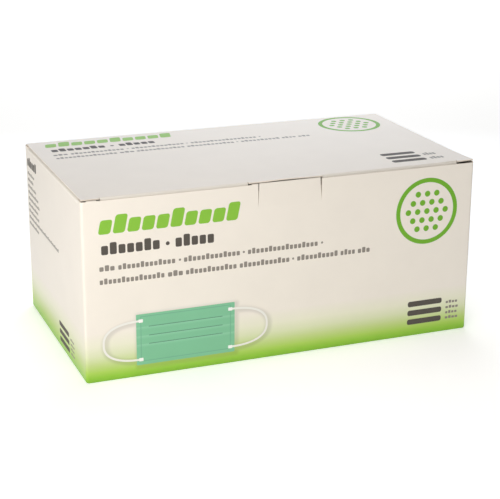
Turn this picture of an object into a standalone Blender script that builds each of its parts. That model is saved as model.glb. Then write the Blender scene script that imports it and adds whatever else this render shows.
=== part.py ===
"""A folding carton for face masks, with its lid closed: one creased strip of board for the four walls, a glued
bottom, and a lid on the back wall with its tuck flap, two dust flaps under it and a lock tab cut from the front wall.

Metres, +Z up. The origin is the middle of the carton's foot, +X runs along its length and -Y is its front.
Each piece starts as the outer skin of its board, which is extruded inwards by the board's thickness.
"""

import math

import bmesh
import bpy
from mathutils import Vector

# Outside of the closed carton
LENGTH = 0.180
DEPTH = 0.100
HEIGHT = 0.080

# Board, its creases, and the space between panels that lie on each other
BOARD = 0.0005
FOLD_RADIUS = 0.0012
FOLD_STEPS = 5
SMOOTH_UNDER = math.radians(40)
CLEARANCE = 0.0003

# Walls
FRONT_DROP = 0.0009
GLUE_WIDTH = 0.015
GLUE_TAPER = 0.004
SEAM_INSET = 0.0004

# Lid and its tuck flap
LID_SIDE_INSET = 0.0008
LID_EDGE_INSET = 0.0006
END_SLIT = 0.0082
TUCK_DEPTH = 0.017
TUCK_LEAN = math.radians(10.5)
TUCK_SIDE_INSET = 0.0015
TUCK_CORNER = 0.012
SLIT_OPENING = 0.0010

# Lock tab in the front wall, and the slot over it in the lid's fold
TAB_CENTRE = 0.0013
TAB_WIDTH = 0.0286
TAB_HEIGHT = 0.011
TAB_TAPER = 0.0003
TAB_LEAN = math.radians(2.0)
SLOT_LEFT = -0.0173
SLOT_RIGHT = 0.0162
SLOT_NOTCH = 0.0025

# Dust flaps, and the bottom flaps that match them
DUST_DEPTH = 0.042
DUST_LEAN = math.radians(5.0)
DUST_FRONT_INSET = 0.0040
DUST_BACK_INSET = 0.0055
DUST_TAPER = math.radians(22.0)
DUST_CORNER = 0.008
CORNER_STEPS = 6

# Bottom
BOTTOM_TUCK = 0.016

# A crease bends its middle line on this radius, and a turning panel starts this far from its axis
MID_RADIUS = FOLD_RADIUS - BOARD / 2
ROOT = BOARD / 2 + CLEARANCE

# Middle planes of the walls, and levels of the panels that lie across them
END_PLANE = LENGTH / 2 - BOARD / 2
LONG_PLANE = DEPTH / 2 - BOARD / 2
LID_LEVEL = HEIGHT - BOARD / 2
DUST_LEVEL = LID_LEVEL - BOARD - CLEARANCE
BOTTOM_LEVEL = BOARD / 2
BOTTOM_FLAP_LEVEL = BOTTOM_LEVEL + BOARD + CLEARANCE

# Heights in the walls
WALL_FOOT = BOARD + CLEARANCE
LOWER_LINE = BOTTOM_FLAP_LEVEL + MID_RADIUS
TAB_LINE = HEIGHT - TAB_HEIGHT
UPPER_LINE = DUST_LEVEL - MID_RADIUS
FRONT_TOP = HEIGHT - FRONT_DROP

# A flap that tucks inside a wall lies this far behind the wall's middle plane
TUCKED = BOARD + CLEARANCE

# A crease stops this far from the middle of its wall, a cut's width short of the rounded corner
END_CREASE = DEPTH / 2 - FOLD_RADIUS - CLEARANCE
FRONT_CREASE = LENGTH / 2 - FOLD_RADIUS - CLEARANCE

LID_HALF = LENGTH / 2 - LID_SIDE_INSET
CUT_LEFT = TAB_CENTRE - TAB_WIDTH / 2 - CLEARANCE
CUT_RIGHT = TAB_CENTRE + TAB_WIDTH / 2 + CLEARANCE

PRINTED_BOARD = (0.84, 0.81, 0.74)
LID_BOARD = (0.82, 0.80, 0.76)
FLAP_BOARD = (0.80, 0.78, 0.72)
RAW_BOARD = (0.46, 0.42, 0.36)
BOARD_ROUGHNESS = 0.45

# Corners of two faces that are nearer than this are one corner
SAME_PLACE = 1e-7

QUARTER = math.pi / 2


def clear_scene():
    """Removes whatever the scene holds."""
    for obj in list(bpy.data.objects):
        bpy.data.objects.remove(obj)


def board_material(name, colour):
    """A coated board of this colour."""
    material = bpy.data.materials.new(name)
    material.use_nodes = True
    shader = material.node_tree.nodes["Principled BSDF"]
    shader.inputs["Base Color"].default_value = (*colour, 1.0)
    shader.inputs["Roughness"].default_value = BOARD_ROUGHNESS
    shader.inputs["Metallic"].default_value = 0.0
    return material


def board_piece(name, faces, colour, location=(0, 0, 0), rotation=(0, 0, 0)):
    """A piece of board from the faces of its middle surface.

    A face is a loop of (point, outward direction), and faces share the corners that coincide."""
    made = bmesh.new()
    outward = made.verts.layers.float_vector.new("outward")
    corners = {}
    for face in faces:
        loop = []
        for point, direction in face:
            key = tuple(round(value / SAME_PLACE) for value in point)
            if key not in corners:
                corner = made.verts.new(Vector(point) + Vector(direction) * BOARD / 2)
                corner[outward] = direction
                corners[key] = corner
            loop.append(corners[key])
        made.faces.new(loop)
    inner = bmesh.ops.extrude_face_region(made, geom=made.faces[:])["geom"]
    for corner in inner:
        if isinstance(corner, bmesh.types.BMVert):
            corner.co -= corner[outward] * BOARD
    bmesh.ops.recalc_face_normals(made, faces=made.faces[:])
    mesh = bpy.data.meshes.new(name)
    made.to_mesh(mesh)
    made.free()
    mesh.shade_smooth()
    mesh.set_sharp_from_angle(angle=SMOOTH_UNDER)
    obj = bpy.data.objects.new(name, mesh)
    bpy.context.scene.collection.objects.link(obj)
    obj.location = location
    obj.rotation_euler = rotation
    mesh.materials.append(board_material(name + "_board", colour))
    return obj


def turn(centre, start, sweep, radius=MID_RADIUS, steps=FOLD_STEPS):
    """Stations (a, b, angle) of an arc round centre, from the angle start through sweep."""
    angles = [start + sweep * step / steps for step in range(steps + 1)]
    return [
        (centre[0] + radius * math.cos(angle), centre[1] + radius * math.sin(angle), angle)
        for angle in angles
    ]


def rounded(outline):
    """An outline's points, each corner (x, y, radius) turned into an arc that is tangent to its two sides."""
    points = []
    for index, (x, y, radius) in enumerate(outline):
        if radius == 0:
            points.append((x, y))
            continue
        before = outline[index - 1]
        after = outline[(index + 1) % len(outline)]
        towards_before = math.atan2(before[1] - y, before[0] - x)
        towards_after = math.atan2(after[1] - y, after[0] - x)
        opening = (towards_after - towards_before + math.pi) % (2 * math.pi) - math.pi
        bisector = towards_before + opening / 2
        reach = radius / math.sin(abs(opening) / 2)
        centre = (x + reach * math.cos(bisector), y + reach * math.sin(bisector))
        side = math.copysign(math.pi / 2, opening)
        sweep = math.copysign(math.pi - abs(opening), -opening)
        arc = turn(centre, towards_before - side, sweep, radius, CORNER_STEPS)
        points += [(arc_x, arc_y) for arc_x, arc_y, _ in arc]
    return points


def flat_face(points, direction):
    """The one face of a flat piece, with the same outward direction at every corner."""
    return [(point, direction) for point in points]


def wall_stations():
    """The walls seen from above, as runs of (x, y, outward angle), from the glue flap round to the seam."""
    right, back, left, front = (quarters * QUARTER for quarters in range(4))
    glue_plane = END_PLANE - TUCKED
    glue_centre = (glue_plane - MID_RADIUS, LONG_PLANE - MID_RADIUS)
    end_centre = END_PLANE - MID_RADIUS
    long_centre = LONG_PLANE - MID_RADIUS
    glue_ys = (glue_centre[1] - GLUE_WIDTH, glue_centre[1])
    end_ys = (-long_centre, -END_CREASE, END_CREASE, long_centre)
    front_xs = (-end_centre, -FRONT_CREASE, CUT_LEFT, CUT_RIGHT, FRONT_CREASE, end_centre)
    return {
        "glue": [(glue_plane, y, right) for y in glue_ys],
        "glue_corner": turn(glue_centre, right, QUARTER),
        "back": [(x, LONG_PLANE, back) for x in (glue_centre[0], -end_centre)],
        "back_left": turn((-end_centre, long_centre), back, QUARTER),
        "left": [(-END_PLANE, y, left) for y in reversed(end_ys)],
        "front_left": turn((-end_centre, -long_centre), left, QUARTER),
        "front": [(x, -LONG_PLANE, front) for x in front_xs],
        "front_right": turn((end_centre, -long_centre), front, QUARTER),
        "right": [(END_PLANE, y, right) for y in (*end_ys, DEPTH / 2 - SEAM_INSET)],
    }


def crease_rows(centre_height, start, sweep):
    """Rows (inset, height, tilt) where a wall turns inwards round a line at this height."""
    arc = turn((MID_RADIUS, centre_height), start, sweep)
    return [(inset, height, math.pi - angle) for inset, height, angle in arc]


def wall_columns():
    """Each column of the walls as its two stations with their rows (inset, height, tilt), from foot to top."""
    band = [(0, LOWER_LINE, 0), (0, TAB_LINE, 0), (0, UPPER_LINE, 0)]
    lower_crease = crease_rows(LOWER_LINE, 3 * QUARTER, -QUARTER)
    upper_crease = crease_rows(UPPER_LINE, 2 * QUARTER, -QUARTER)
    front_crease = crease_rows(BOTTOM_LEVEL + MID_RADIUS, 3 * QUARTER, -QUARTER)
    above_foot = [*band, (0, FRONT_TOP, 0)]
    plain = [(0, WALL_FOOT, 0), *above_foot]
    front = [*front_crease, *above_foot]
    crossed = [*lower_crease, *band[1:], *upper_crease[1:]]
    rows = {
        "back": [[*plain, (0, LID_LEVEL, 0)]],
        "left": [band, crossed, band],
        "front": [above_foot, front, front[:-2], front, above_foot],
        "right": [band, crossed, band, plain],
    }
    taper_foot = (0, LOWER_LINE + GLUE_TAPER, 0)
    taper_top = (0, UPPER_LINE - GLUE_TAPER, 0)
    walls = wall_stations()
    glue_edge, glue_root = walls.pop("glue")
    columns = [(glue_edge, [taper_foot, band[1], taper_top], glue_root, band)]
    for wall, stations in walls.items():
        for index, (first, second) in enumerate(zip(stations, stations[1:])):
            column = rows[wall][index] if wall in rows else plain
            columns.append((first, column, second, column))
    return columns


def wall_corner(station, row):
    """The (point, outward direction) of the walls' middle surface at a station and a row."""
    x, y, angle = station
    inset, height, tilt = row
    out_x, out_y = math.cos(angle), math.sin(angle)
    point = (x - out_x * inset, y - out_y * inset, height)
    return point, (out_x * math.cos(tilt), out_y * math.cos(tilt), math.sin(tilt))


def carton_walls():
    """The four walls and the glue flap as one creased strip, open over the lock tab."""
    faces = []
    for first, first_rows, second, second_rows in wall_columns():
        for index in range(len(first_rows) - 1):
            faces.append(
                [
                    wall_corner(first, first_rows[index]),
                    wall_corner(second, second_rows[index]),
                    wall_corner(second, second_rows[index + 1]),
                    wall_corner(first, first_rows[index + 1]),
                ]
            )
    return board_piece("carton_walls", faces, PRINTED_BOARD)


def strip_faces(left, right, path):
    """The faces of a board bent along a path of (y, z, outward angle), between two places along its length."""

    def corner(x, station):
        """The (point, outward direction) at x on this station of the path."""
        y, z, angle = station
        return (x, y, z), (0, math.cos(angle), math.sin(angle))

    return [
        [corner(left, here), corner(left, there), corner(right, there), corner(right, here)]
        for here, there in zip(path, path[1:])
    ]


def lid_panel():
    """The lid with its front fold, left raw at the slit locks and over the slot for the lock tab."""
    fold_y = -(LONG_PLANE - TUCKED - MID_RADIUS)
    back_edge = (LONG_PLANE - ROOT, LID_LEVEL, QUARTER)
    fold_start = (fold_y, LID_LEVEL, QUARTER)
    raw_edge = (-(DEPTH / 2 - LID_EDGE_INSET), LID_LEVEL, QUARTER)
    fold = turn((fold_y, LID_LEVEL - MID_RADIUS), QUARTER, QUARTER + TUCK_LEAN)
    slit = LENGTH / 2 - END_SLIT
    cuts = [-slit, SLOT_LEFT, SLOT_RIGHT, slit]
    faces = []
    left = -LID_HALF
    for index, cut in enumerate([*cuts, LID_HALF]):
        front = fold if index % 2 else [fold_start, raw_edge]
        faces += strip_faces(left, cut, [back_edge, *front])
        left = cut
        if cut in cuts:
            left = cut + CLEARANCE
            faces += strip_faces(cut, left, [back_edge, fold_start])
    return board_piece("lid_panel", faces, LID_BOARD)


def tuck_axis():
    """Where the tuck flap's crease ends: (y, z) of its axis."""
    centre_y = -(LONG_PLANE - TUCKED - MID_RADIUS)
    centre_z = LID_LEVEL - MID_RADIUS
    return (
        centre_y - MID_RADIUS * math.cos(TUCK_LEAN),
        centre_z - MID_RADIUS * math.sin(TUCK_LEAN),
    )


def tuck_flap():
    """The flap that hangs from the lid's fold inside the front wall, notched under the slot."""
    half = LENGTH / 2 - FOLD_RADIUS - TUCK_SIDE_INSET
    slit = LENGTH / 2 - END_SLIT
    outline = rounded(
        [
            (-slit, -ROOT, 0),
            (-slit, -ROOT - SLIT_OPENING, 0),
            (-half, -ROOT - SLIT_OPENING, 0),
            (-half, -TUCK_DEPTH, TUCK_CORNER),
            (half, -TUCK_DEPTH, TUCK_CORNER),
            (half, -ROOT - SLIT_OPENING, 0),
            (slit, -ROOT - SLIT_OPENING, 0),
            (slit, -ROOT, 0),
            (SLOT_RIGHT, -ROOT, 0),
            (SLOT_RIGHT, -ROOT - SLOT_NOTCH, 0),
            (SLOT_LEFT, -ROOT - SLOT_NOTCH, 0),
            (SLOT_LEFT, -ROOT, 0),
        ]
    )
    face = flat_face([(x, 0, z) for x, z in outline], (0, -1, 0))
    y, z = tuck_axis()
    return board_piece("tuck_flap", [face], FLAP_BOARD, (0, y, z), (TUCK_LEAN, 0, 0))


def flap_outline(root):
    """A dust flap's outline as (reach, y), from the distance root past its crease, narrower towards its tip."""
    front = -(DEPTH / 2 - DUST_FRONT_INSET)
    back = DEPTH / 2 - DUST_BACK_INSET
    drawn_in = (DUST_DEPTH - root) * math.tan(DUST_TAPER)
    return rounded(
        [
            (root, front, 0),
            (DUST_DEPTH, front, DUST_CORNER),
            (DUST_DEPTH, back - drawn_in, DUST_CORNER),
            (root, back, 0),
        ]
    )


def end_flap(name, side, level, root, lean, colour):
    """A flap on the end wall at side, -1 left or 1 right, reaching inwards from its crease at this level."""
    face = flat_face([(-side * reach, y, 0) for reach, y in flap_outline(root)], (0, 0, 1))
    place = (side * (END_PLANE - MID_RADIUS), 0, level)
    return board_piece(name, [face], colour, place, (0, -side * lean, 0))


def lock_tab():
    """The tab between two slits of the front wall, leaning slightly inwards on its crease."""
    half = TAB_WIDTH / 2
    top = FRONT_TOP - TAB_LINE
    outline = [
        (TAB_CENTRE - half, 0, ROOT),
        (TAB_CENTRE + half, 0, ROOT),
        (TAB_CENTRE + half - TAB_TAPER, 0, top),
        (TAB_CENTRE - half + TAB_TAPER, 0, top),
    ]
    face = flat_face(outline, (0, -1, 0))
    place = (0, -LONG_PLANE, TAB_LINE)
    return board_piece("lock_tab", [face], PRINTED_BOARD, place, (-TAB_LEAN, 0, 0))


def bottom_panel():
    """The bottom, butted against the front wall's crease, with its back edge folded up inside the back wall."""
    half = LENGTH / 2 - LID_SIDE_INSET
    tuck_half = LENGTH / 2 - FOLD_RADIUS - TUCK_SIDE_INSET
    front = (-(LONG_PLANE - MID_RADIUS) + CLEARANCE, BOTTOM_LEVEL, -QUARTER)
    fold_y = LONG_PLANE - TUCKED - MID_RADIUS
    fold = turn((fold_y, BOTTOM_LEVEL + MID_RADIUS), -QUARTER, QUARTER)
    top = (LONG_PLANE - TUCKED, BOTTOM_TUCK, 0)
    faces = strip_faces(-tuck_half, tuck_half, [front, *fold, top])
    for left, right in ((-half, -tuck_half), (tuck_half, half)):
        faces += strip_faces(left, right, [front, fold[0]])
    return board_piece("bottom_panel", faces, RAW_BOARD)


def main():
    """Builds the carton, closed and empty."""
    clear_scene()
    carton_walls()
    bottom_panel()
    lid_panel()
    tuck_flap()
    lock_tab()
    for name, side in (("left", -1), ("right", 1)):
        end_flap("dust_flap_" + name, side, DUST_LEVEL, ROOT, DUST_LEAN, FLAP_BOARD)
        end_flap("bottom_flap_" + name, side, BOTTOM_FLAP_LEVEL, CLEARANCE, 0.0, RAW_BOARD)


main()
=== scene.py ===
"""A closed folding carton for face masks, dressed and lit for its photograph.

Every piece of board is cut flat, as a die cuts it, then folded along rounded creases and given its thickness.
The print is a thin film of ink laid on the folded board. Units are metres, in the frame of the CAD model.
"""

import logging
import math
from collections.abc import Callable, Sequence
from dataclasses import dataclass, field
from enum import Enum, IntEnum

import bmesh
import bpy
from mathutils import Matrix, Vector


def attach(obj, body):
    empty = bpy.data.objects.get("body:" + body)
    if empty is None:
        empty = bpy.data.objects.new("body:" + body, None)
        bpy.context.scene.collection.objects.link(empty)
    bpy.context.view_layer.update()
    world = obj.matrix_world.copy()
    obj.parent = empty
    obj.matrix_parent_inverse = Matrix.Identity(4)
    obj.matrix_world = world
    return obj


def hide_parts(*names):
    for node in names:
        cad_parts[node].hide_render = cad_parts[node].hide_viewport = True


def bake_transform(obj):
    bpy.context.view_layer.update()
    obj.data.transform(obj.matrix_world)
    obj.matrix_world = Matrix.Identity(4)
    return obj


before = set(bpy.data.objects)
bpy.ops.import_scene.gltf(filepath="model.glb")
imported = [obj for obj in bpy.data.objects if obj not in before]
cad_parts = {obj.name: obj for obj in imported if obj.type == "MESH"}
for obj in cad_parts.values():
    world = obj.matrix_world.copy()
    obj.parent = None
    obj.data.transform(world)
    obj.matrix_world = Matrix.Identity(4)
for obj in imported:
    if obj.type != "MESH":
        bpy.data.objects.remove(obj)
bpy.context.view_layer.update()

log = logging.getLogger("carton")

MM = 0.001
RIGHT_ANGLE = math.radians(90)
# How near a point counts as lying on the line of a cut
CUT_SLACK = 1e-7

# A place on a flat sheet turned into a point in space
Placing = Callable[[float, float], Vector]


class Side(IntEnum):
    """The material slot that each side of a piece of board takes, and the slot of its printed side along a
    crease, which is painted paler as a painted highlight.
    """

    PRINTED = 0
    GREY = 1
    CUT = 2
    # Printed faces along a crease: a paler board, a painted highlight
    PAINTED_HIGHLIGHT = 3


class Wall(Enum):
    """The straight runs of the walls, in their order round the carton."""

    GLUE = 0
    BACK = 1
    LEFT = 2
    FRONT = 3
    RIGHT = 4
    CORNER = 5


# Finishes


def linear(hex_colour: str) -> tuple[float, float, float, float]:
    """Turns an sRGB colour into the linear colour that a shader takes.

    Args:
        hex_colour: The colour as six hex digits.

    Returns:
        Red, green, blue and an alpha of 1.
    """
    channels = (int(hex_colour[place : place + 2], 16) / 255 for place in (0, 2, 4))
    red, green, blue = (c / 12.92 if c <= 0.04045 else ((c + 0.055) / 1.055) ** 2.4 for c in channels)
    return red, green, blue, 1.0


def add_node(
    tree: bpy.types.NodeTree, kind: str, settings: dict | None = None, inputs: dict | None = None
) -> bpy.types.Node:
    """Adds a node with its settings and links.

    Args:
        tree: The node tree.
        kind: The node's type name.
        settings: Properties of the node.
        inputs: Values, or output sockets to link from, by the name or number of the input socket.

    Returns:
        The node.
    """
    node = tree.nodes.new(kind)
    for name, value in (settings or {}).items():
        setattr(node, name, value)
    for socket, value in (inputs or {}).items():
        if isinstance(value, bpy.types.NodeSocket):
            tree.links.new(value, node.inputs[socket])
        else:
            node.inputs[socket].default_value = value
    return node


@dataclass(frozen=True)
class Finish:
    """What every finish of the carton shares: a dull surface with a grain, on Object coordinates.

    Attributes:
        name: The real material's name.
        colour: sRGB hex of the surface.
        roughness: How much the surface scatters a reflection.
        grain: Size of the surface's grain in metres.
        relief: Depth of that grain in metres.
        mottle: How far the colour strays from its mean, as a share.
        coat: Weight of the clear varnish.
    """

    name: str
    colour: str
    roughness: float
    grain: float
    relief: float
    mottle: float = 0.02
    coat: float = 0.0

    def tint(self, tree: bpy.types.NodeTree, place: bpy.types.NodeSocket) -> bpy.types.NodeSocket | None:
        """Gives the colour before its mottle, or None where it is the one colour of the finish."""
        return None

    def build(self) -> bpy.types.Material:
        """Makes the material.

        Returns:
            The material, which is made once and shared.
        """
        if self.name in bpy.data.materials:
            return bpy.data.materials[self.name]
        material = bpy.data.materials.new(self.name)
        material.use_nodes = True
        tree = material.node_tree
        shader = tree.nodes["Principled BSDF"]
        shader.inputs["Roughness"].default_value = self.roughness
        shader.inputs["Coat Weight"].default_value = self.coat
        shader.inputs["Coat Roughness"].default_value = 0.3
        place = add_node(tree, "ShaderNodeTexCoord").outputs["Object"]
        cloud = add_node(
            tree, "ShaderNodeTexNoise", inputs={"Vector": place, "Scale": 1 / (14 * MM), "Detail": 4.0}
        )
        shade = add_node(
            tree,
            "ShaderNodeMapRange",
            inputs={"Value": cloud.outputs[0], 1: 0.3, 2: 0.7, 3: 1 - self.mottle, 4: 1 + self.mottle},
        )
        tinted = self.tint(tree, place)
        toned = add_node(
            tree,
            "ShaderNodeVectorMath",
            {"operation": "SCALE"},
            {0: tinted or linear(self.colour)[:3], "Scale": shade.outputs[0]},
        )
        tree.links.new(toned.outputs[0], shader.inputs["Base Color"])
        fibre = add_node(
            tree, "ShaderNodeTexNoise", inputs={"Vector": place, "Scale": 1 / self.grain, "Detail": 3.0}
        )
        bump = add_node(
            tree,
            "ShaderNodeBump",
            inputs={"Strength": 1.0, "Distance": self.relief, "Height": fibre.outputs[0]},
        )
        tree.links.new(bump.outputs[0], shader.inputs["Normal"])
        return material


@dataclass(frozen=True)
class PrintedBoard(Finish):
    """Clay-coated folding boxboard, offset printed and varnished, with a fade over its height: the green
    print at its foot, and painted shade along the foot's very edge.

    Attributes:
        fade: Stops of the fade as (height in metres, sRGB hex), or none: the printed green fade, with painted
            shade at its lowest stops.
        shadow: How dark the soft shadow printed by the piece's own attribute gets, as a share.
    """

    roughness: float = 0.42
    grain: float = 0.6 * MM
    relief: float = 0.004 * MM
    mottle: float = 0.012
    coat: float = 0.15
    fade: tuple[tuple[float, str], ...] = ()
    shadow: float = 0.0

    def tint(self, tree: bpy.types.NodeTree, place: bpy.types.NodeSocket) -> bpy.types.NodeSocket | None:
        """Gives the fade over the height, darkened by the printed shadow."""
        if not self.fade:
            return None
        height = add_node(tree, "ShaderNodeSeparateXYZ", inputs={0: place}).outputs["Z"]
        top = self.fade[-1][0]
        share = add_node(tree, "ShaderNodeMath", {"operation": "DIVIDE"}, {0: height, 1: top})
        ramp = add_node(tree, "ShaderNodeValToRGB", inputs={0: share.outputs[0]})
        stops = ramp.color_ramp.elements
        for index, (level, colour) in enumerate(self.fade):
            stop = stops[index] if index < 2 else stops.new(level / top)
            stop.position = level / top
            stop.color = linear(colour)
        if not self.shadow:
            return ramp.outputs[0]
        depth = add_node(tree, "ShaderNodeAttribute", {"attribute_name": SHADE_LAYER})
        light = add_node(
            tree,
            "ShaderNodeMapRange",
            {"interpolation_type": "SMOOTHSTEP"},
            {"Value": depth.outputs["Fac"], 3: 1.0, 4: 1 - self.shadow},
        )
        darkened = add_node(
            tree,
            "ShaderNodeVectorMath",
            {"operation": "SCALE"},
            {0: ramp.outputs[0], "Scale": light.outputs[0]},
        )
        return darkened.outputs[0]


# The attribute that says how deep in a printed shadow a point lies
SHADE_LAYER = "shade"

# How far each film of the mask picture stands out of the board, so that each lies on the one below
SHADOW_PROUD, CLOTH_PROUD, THREAD_PROUD, LOOP_PROUD, LOOP_END_PROUD = (
    0.008 * MM, 0.016 * MM, 0.022 * MM, 0.03 * MM, 0.036 * MM
)

# Heights of the mask picture's lower and upper edge, and of its pleats
PICTURE_FOOT, PICTURE_HEAD = 5.3 * MM, 28.2 * MM
PLEATS = (22.4 * MM, 18.4 * MM, 14.6 * MM)

BOARD_WHITE = "F4EDE2"
# The printed green fade at the foot of the walls. Its two lowest stops, darker still, are painted shade along
# the foot's edge, where the carton meets the floor.
FOOT_FADE_AND_SHADE = (
    (0.0, "74A818"),
    (0.8 * MM, "86BE22"),
    (2 * MM, "90C92C"),
    (4.5 * MM, "ACD352"),
    (8 * MM, "C7DA8C"),
    (12 * MM, "E0E6BE"),
    (16 * MM, "EEEDD5"),
    (22 * MM, BOARD_WHITE),
)

# White clay coating under a satin varnish: smooth, warm white, with a soft sheen. Its grain of about
# 0.2 mm is drawn at 0.6 mm, because a finer one doesn't show.
WALL_BOARD = PrintedBoard("varnished_boxboard_walls", BOARD_WHITE, fade=FOOT_FADE_AND_SHADE)
# The lid's board is painted a little darker than the walls' board: painted shade over the lid's top
SHADED_LID_BOARD = PrintedBoard("varnished_boxboard_lid_painted_shade", "F0E7DA")
# The same board, darker where the soft shadow of the mask picture is printed on it
SHADOW_BOARD = PrintedBoard("varnished_boxboard_shadow", BOARD_WHITE, fade=FOOT_FADE_AND_SHADE, shadow=0.2)
# The uncoated back of recycled grey board: fibrous, brownish grey and quite dull
GREY_BACK = Finish("uncoated_grey_back", "B5ADA0", 0.9, 0.5 * MM, 0.02 * MM, 0.07)
# The die-cut edge shows the pale brown core of the board between its coatings
CUT_EDGE = Finish("die_cut_board_edge", "E8DDCF", 0.95, 0.3 * MM, 0.03 * MM, 0.08)
BOARD_SIDES = (WALL_BOARD, GREY_BACK, CUT_EDGE)
# The tuck flap, the bottom and the bottom flaps take the lid's board, with its painted shade, too
SHADED_LID_SIDES = (SHADED_LID_BOARD, GREY_BACK, CUT_EDGE)
# Along a crease the board is painted paler: a painted highlight of the light that the rounded fold catches
CREASE_HIGHLIGHT_BOARD = PrintedBoard("varnished_boxboard_crease_painted_highlight", "FFF9EF", roughness=0.5, mottle=0.008)
CREASE_HIGHLIGHT_SIDES = (*SHADED_LID_SIDES, CREASE_HIGHLIGHT_BOARD)


@dataclass(frozen=True)
class Ink(Finish):
    """Offset ink on coated board: a thin, even film that takes the varnish's sheen."""

    roughness: float = 0.4
    grain: float = 0.6 * MM
    relief: float = 0.003 * MM
    mottle: float = 0.02
    coat: float = 0.15


@dataclass(frozen=True)
class MaskPictureInk(Ink):
    """The printed picture of a pleated mask's cloth, a little lighter under each pleat and darker over it.

    Attributes:
        foot: Height of the picture's lower edge.
        head: Height of its upper edge.
        pleats: Heights of the pleats' edges.
        light: sRGB hex under a pleat.
    """

    foot: float = PICTURE_FOOT
    head: float = PICTURE_HEAD
    pleats: tuple[float, ...] = PLEATS
    light: str = "8CCBA8"

    def tint(self, tree: bpy.types.NodeTree, place: bpy.types.NodeSocket) -> bpy.types.NodeSocket | None:
        """Gives the cloth's colour over the height, light under each pleat and darkening down to the next."""
        height = add_node(tree, "ShaderNodeSeparateXYZ", inputs={0: place}).outputs["Z"]
        share = add_node(
            tree, "ShaderNodeMapRange", inputs={"Value": height, 1: self.foot, 2: self.head}
        )
        ramp = add_node(tree, "ShaderNodeValToRGB", inputs={0: share.outputs[0]})
        stops = ramp.color_ramp.elements
        stops[0].color = stops[1].color = linear(self.colour)
        for pleat in self.pleats:
            level = (pleat - self.foot) / (self.head - self.foot)
            for step, colour in ((-0.06, self.colour), (-0.004, self.light), (0.004, self.colour)):
                stops.new(level + step).color = linear(colour)
        return ramp.outputs[0]


# Offset inks under the satin varnish: each is an even film that takes the board's sheen
GREEN_INK = Ink("green_offset_ink", "86C232", roughness=0.5, mottle=0.015, coat=0.08)
EMBLEM_INK = Ink("leaf_green_offset_ink", "6FB318", roughness=0.5, mottle=0.015, coat=0.0)
DARK_INK = Ink("warm_grey_offset_ink", "524C45", roughness=0.6, coat=0.0)
LIGHT_INK = Ink("fine_grey_offset_ink", "8C857C", roughness=0.5, coat=0.1)
RIBBON_INK = Ink("white_offset_ink", "F1EFE8", mottle=0.01)
LOOP_END_INK = Ink("bright_white_offset_ink", "FCFBF8", mottle=0.01)
PLEAT_INK = Ink("dark_cloth_green_offset_ink", "4E8A70")
SEAM_INK = Ink("mid_cloth_green_offset_ink", "6DB08F")
CLOTH_INK = MaskPictureInk("cloth_green_offset_ink", "7CC298", mottle=0.015)


# Board pieces


@dataclass(frozen=True)
class Leg:
    """A straight run of board, and the crease that ends it.

    Attributes:
        length: Length of the run.
        turn: Angle of the crease, in radians to the left of the way that the path runs.
    """

    length: float
    turn: float = 0.0


@dataclass
class CreasedPath:
    """The outer skin of a folded board seen edge on: straight runs joined by rounded creases.

    Attributes:
        start: Where it starts, in the two axes of the view.
        heading: The way that it starts in, in radians.
        legs: Its runs and creases. The board's outside is on the right of the path.
        radius: Outer radius of a crease.
        support: Distance from a crease of the line that keeps the run beside it flat.
        parts: Each run and crease as (distance along, length, start, heading, turn).
    """

    start: tuple[float, float]
    heading: float
    legs: Sequence[Leg]
    radius: float = 1.2 * MM
    support: float = 0.25 * MM
    parts: list[tuple[float, float, Vector, float, float]] = field(default_factory=list)

    def __post_init__(self) -> None:
        """Works out where each run and crease starts."""
        point, heading, along = Vector(self.start), self.heading, 0.0
        for leg in self.legs:
            self.parts.append((along, leg.length, point.copy(), heading, 0.0))
            point += leg.length * Vector((math.cos(heading), math.sin(heading)))
            along += leg.length
            if leg.turn:
                self.parts.append((along, self.radius * leg.turn, point.copy(), heading, leg.turn))
                centre = point + self.radius * Vector((-math.sin(heading), math.cos(heading)))
                heading += leg.turn
                point = centre + self.radius * Vector((math.sin(heading), -math.cos(heading)))
                along += self.radius * leg.turn

    def leg_start(self, index: int) -> float:
        """Gives how far along the path a straight run starts."""
        return [along for along, *_, turn in self.parts if not turn][index]

    def at(self, distance: float) -> tuple[Vector, Vector]:
        """Finds a place on the path.

        Args:
            distance: How far along it, which may lie past either end.

        Returns:
            The point, and the outward direction there.
        """
        reached = [part for part in self.parts if part[0] <= distance + 1e-9] or self.parts[:1]
        along, _, point, heading, turn = reached[-1]
        beyond = distance - along
        if not turn:
            outward = Vector((math.sin(heading), -math.cos(heading)))
            return point + beyond * Vector((math.cos(heading), math.sin(heading))), outward
        centre = point + self.radius * Vector((-math.sin(heading), math.cos(heading)))
        angle = heading + beyond / self.radius
        outward = Vector((math.sin(angle), -math.cos(angle)))
        return centre + self.radius * outward, outward

    def marks(self, spacing: float, steps: int = 6) -> list[float]:
        """Lists where the board needs a line across it to bend and bow smoothly.

        Args:
            spacing: The most between two lines on a straight run.
            steps: Number of steps in a crease.

        Returns:
            Distances along the path, from its start to its end.
        """
        places = [0.0]
        for along, length, _, _, turn in self.parts:
            count = steps if turn else max(1, math.ceil(length / spacing))
            places += [along + length * step / count for step in range(1, count + 1)]
            if not turn and length > spacing:
                places += [along + self.support, along + length - self.support]
        return sorted(places)


def between(start: float, end: float, spacing: float) -> list[float]:
    """Lists evenly spaced places from start to end, both among them."""
    count = max(1, math.ceil((end - start) / spacing))
    return [start + (end - start) * step / count for step in range(count + 1)]


def merged(*lists: Sequence[float]) -> list[float]:
    """Sorts places into one list, leaving out those that coincide."""
    places: list[float] = []
    for place in sorted(value for values in lists for value in values):
        if not places or place - places[-1] > 0.01 * MM:
            places.append(place)
    return places


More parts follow.
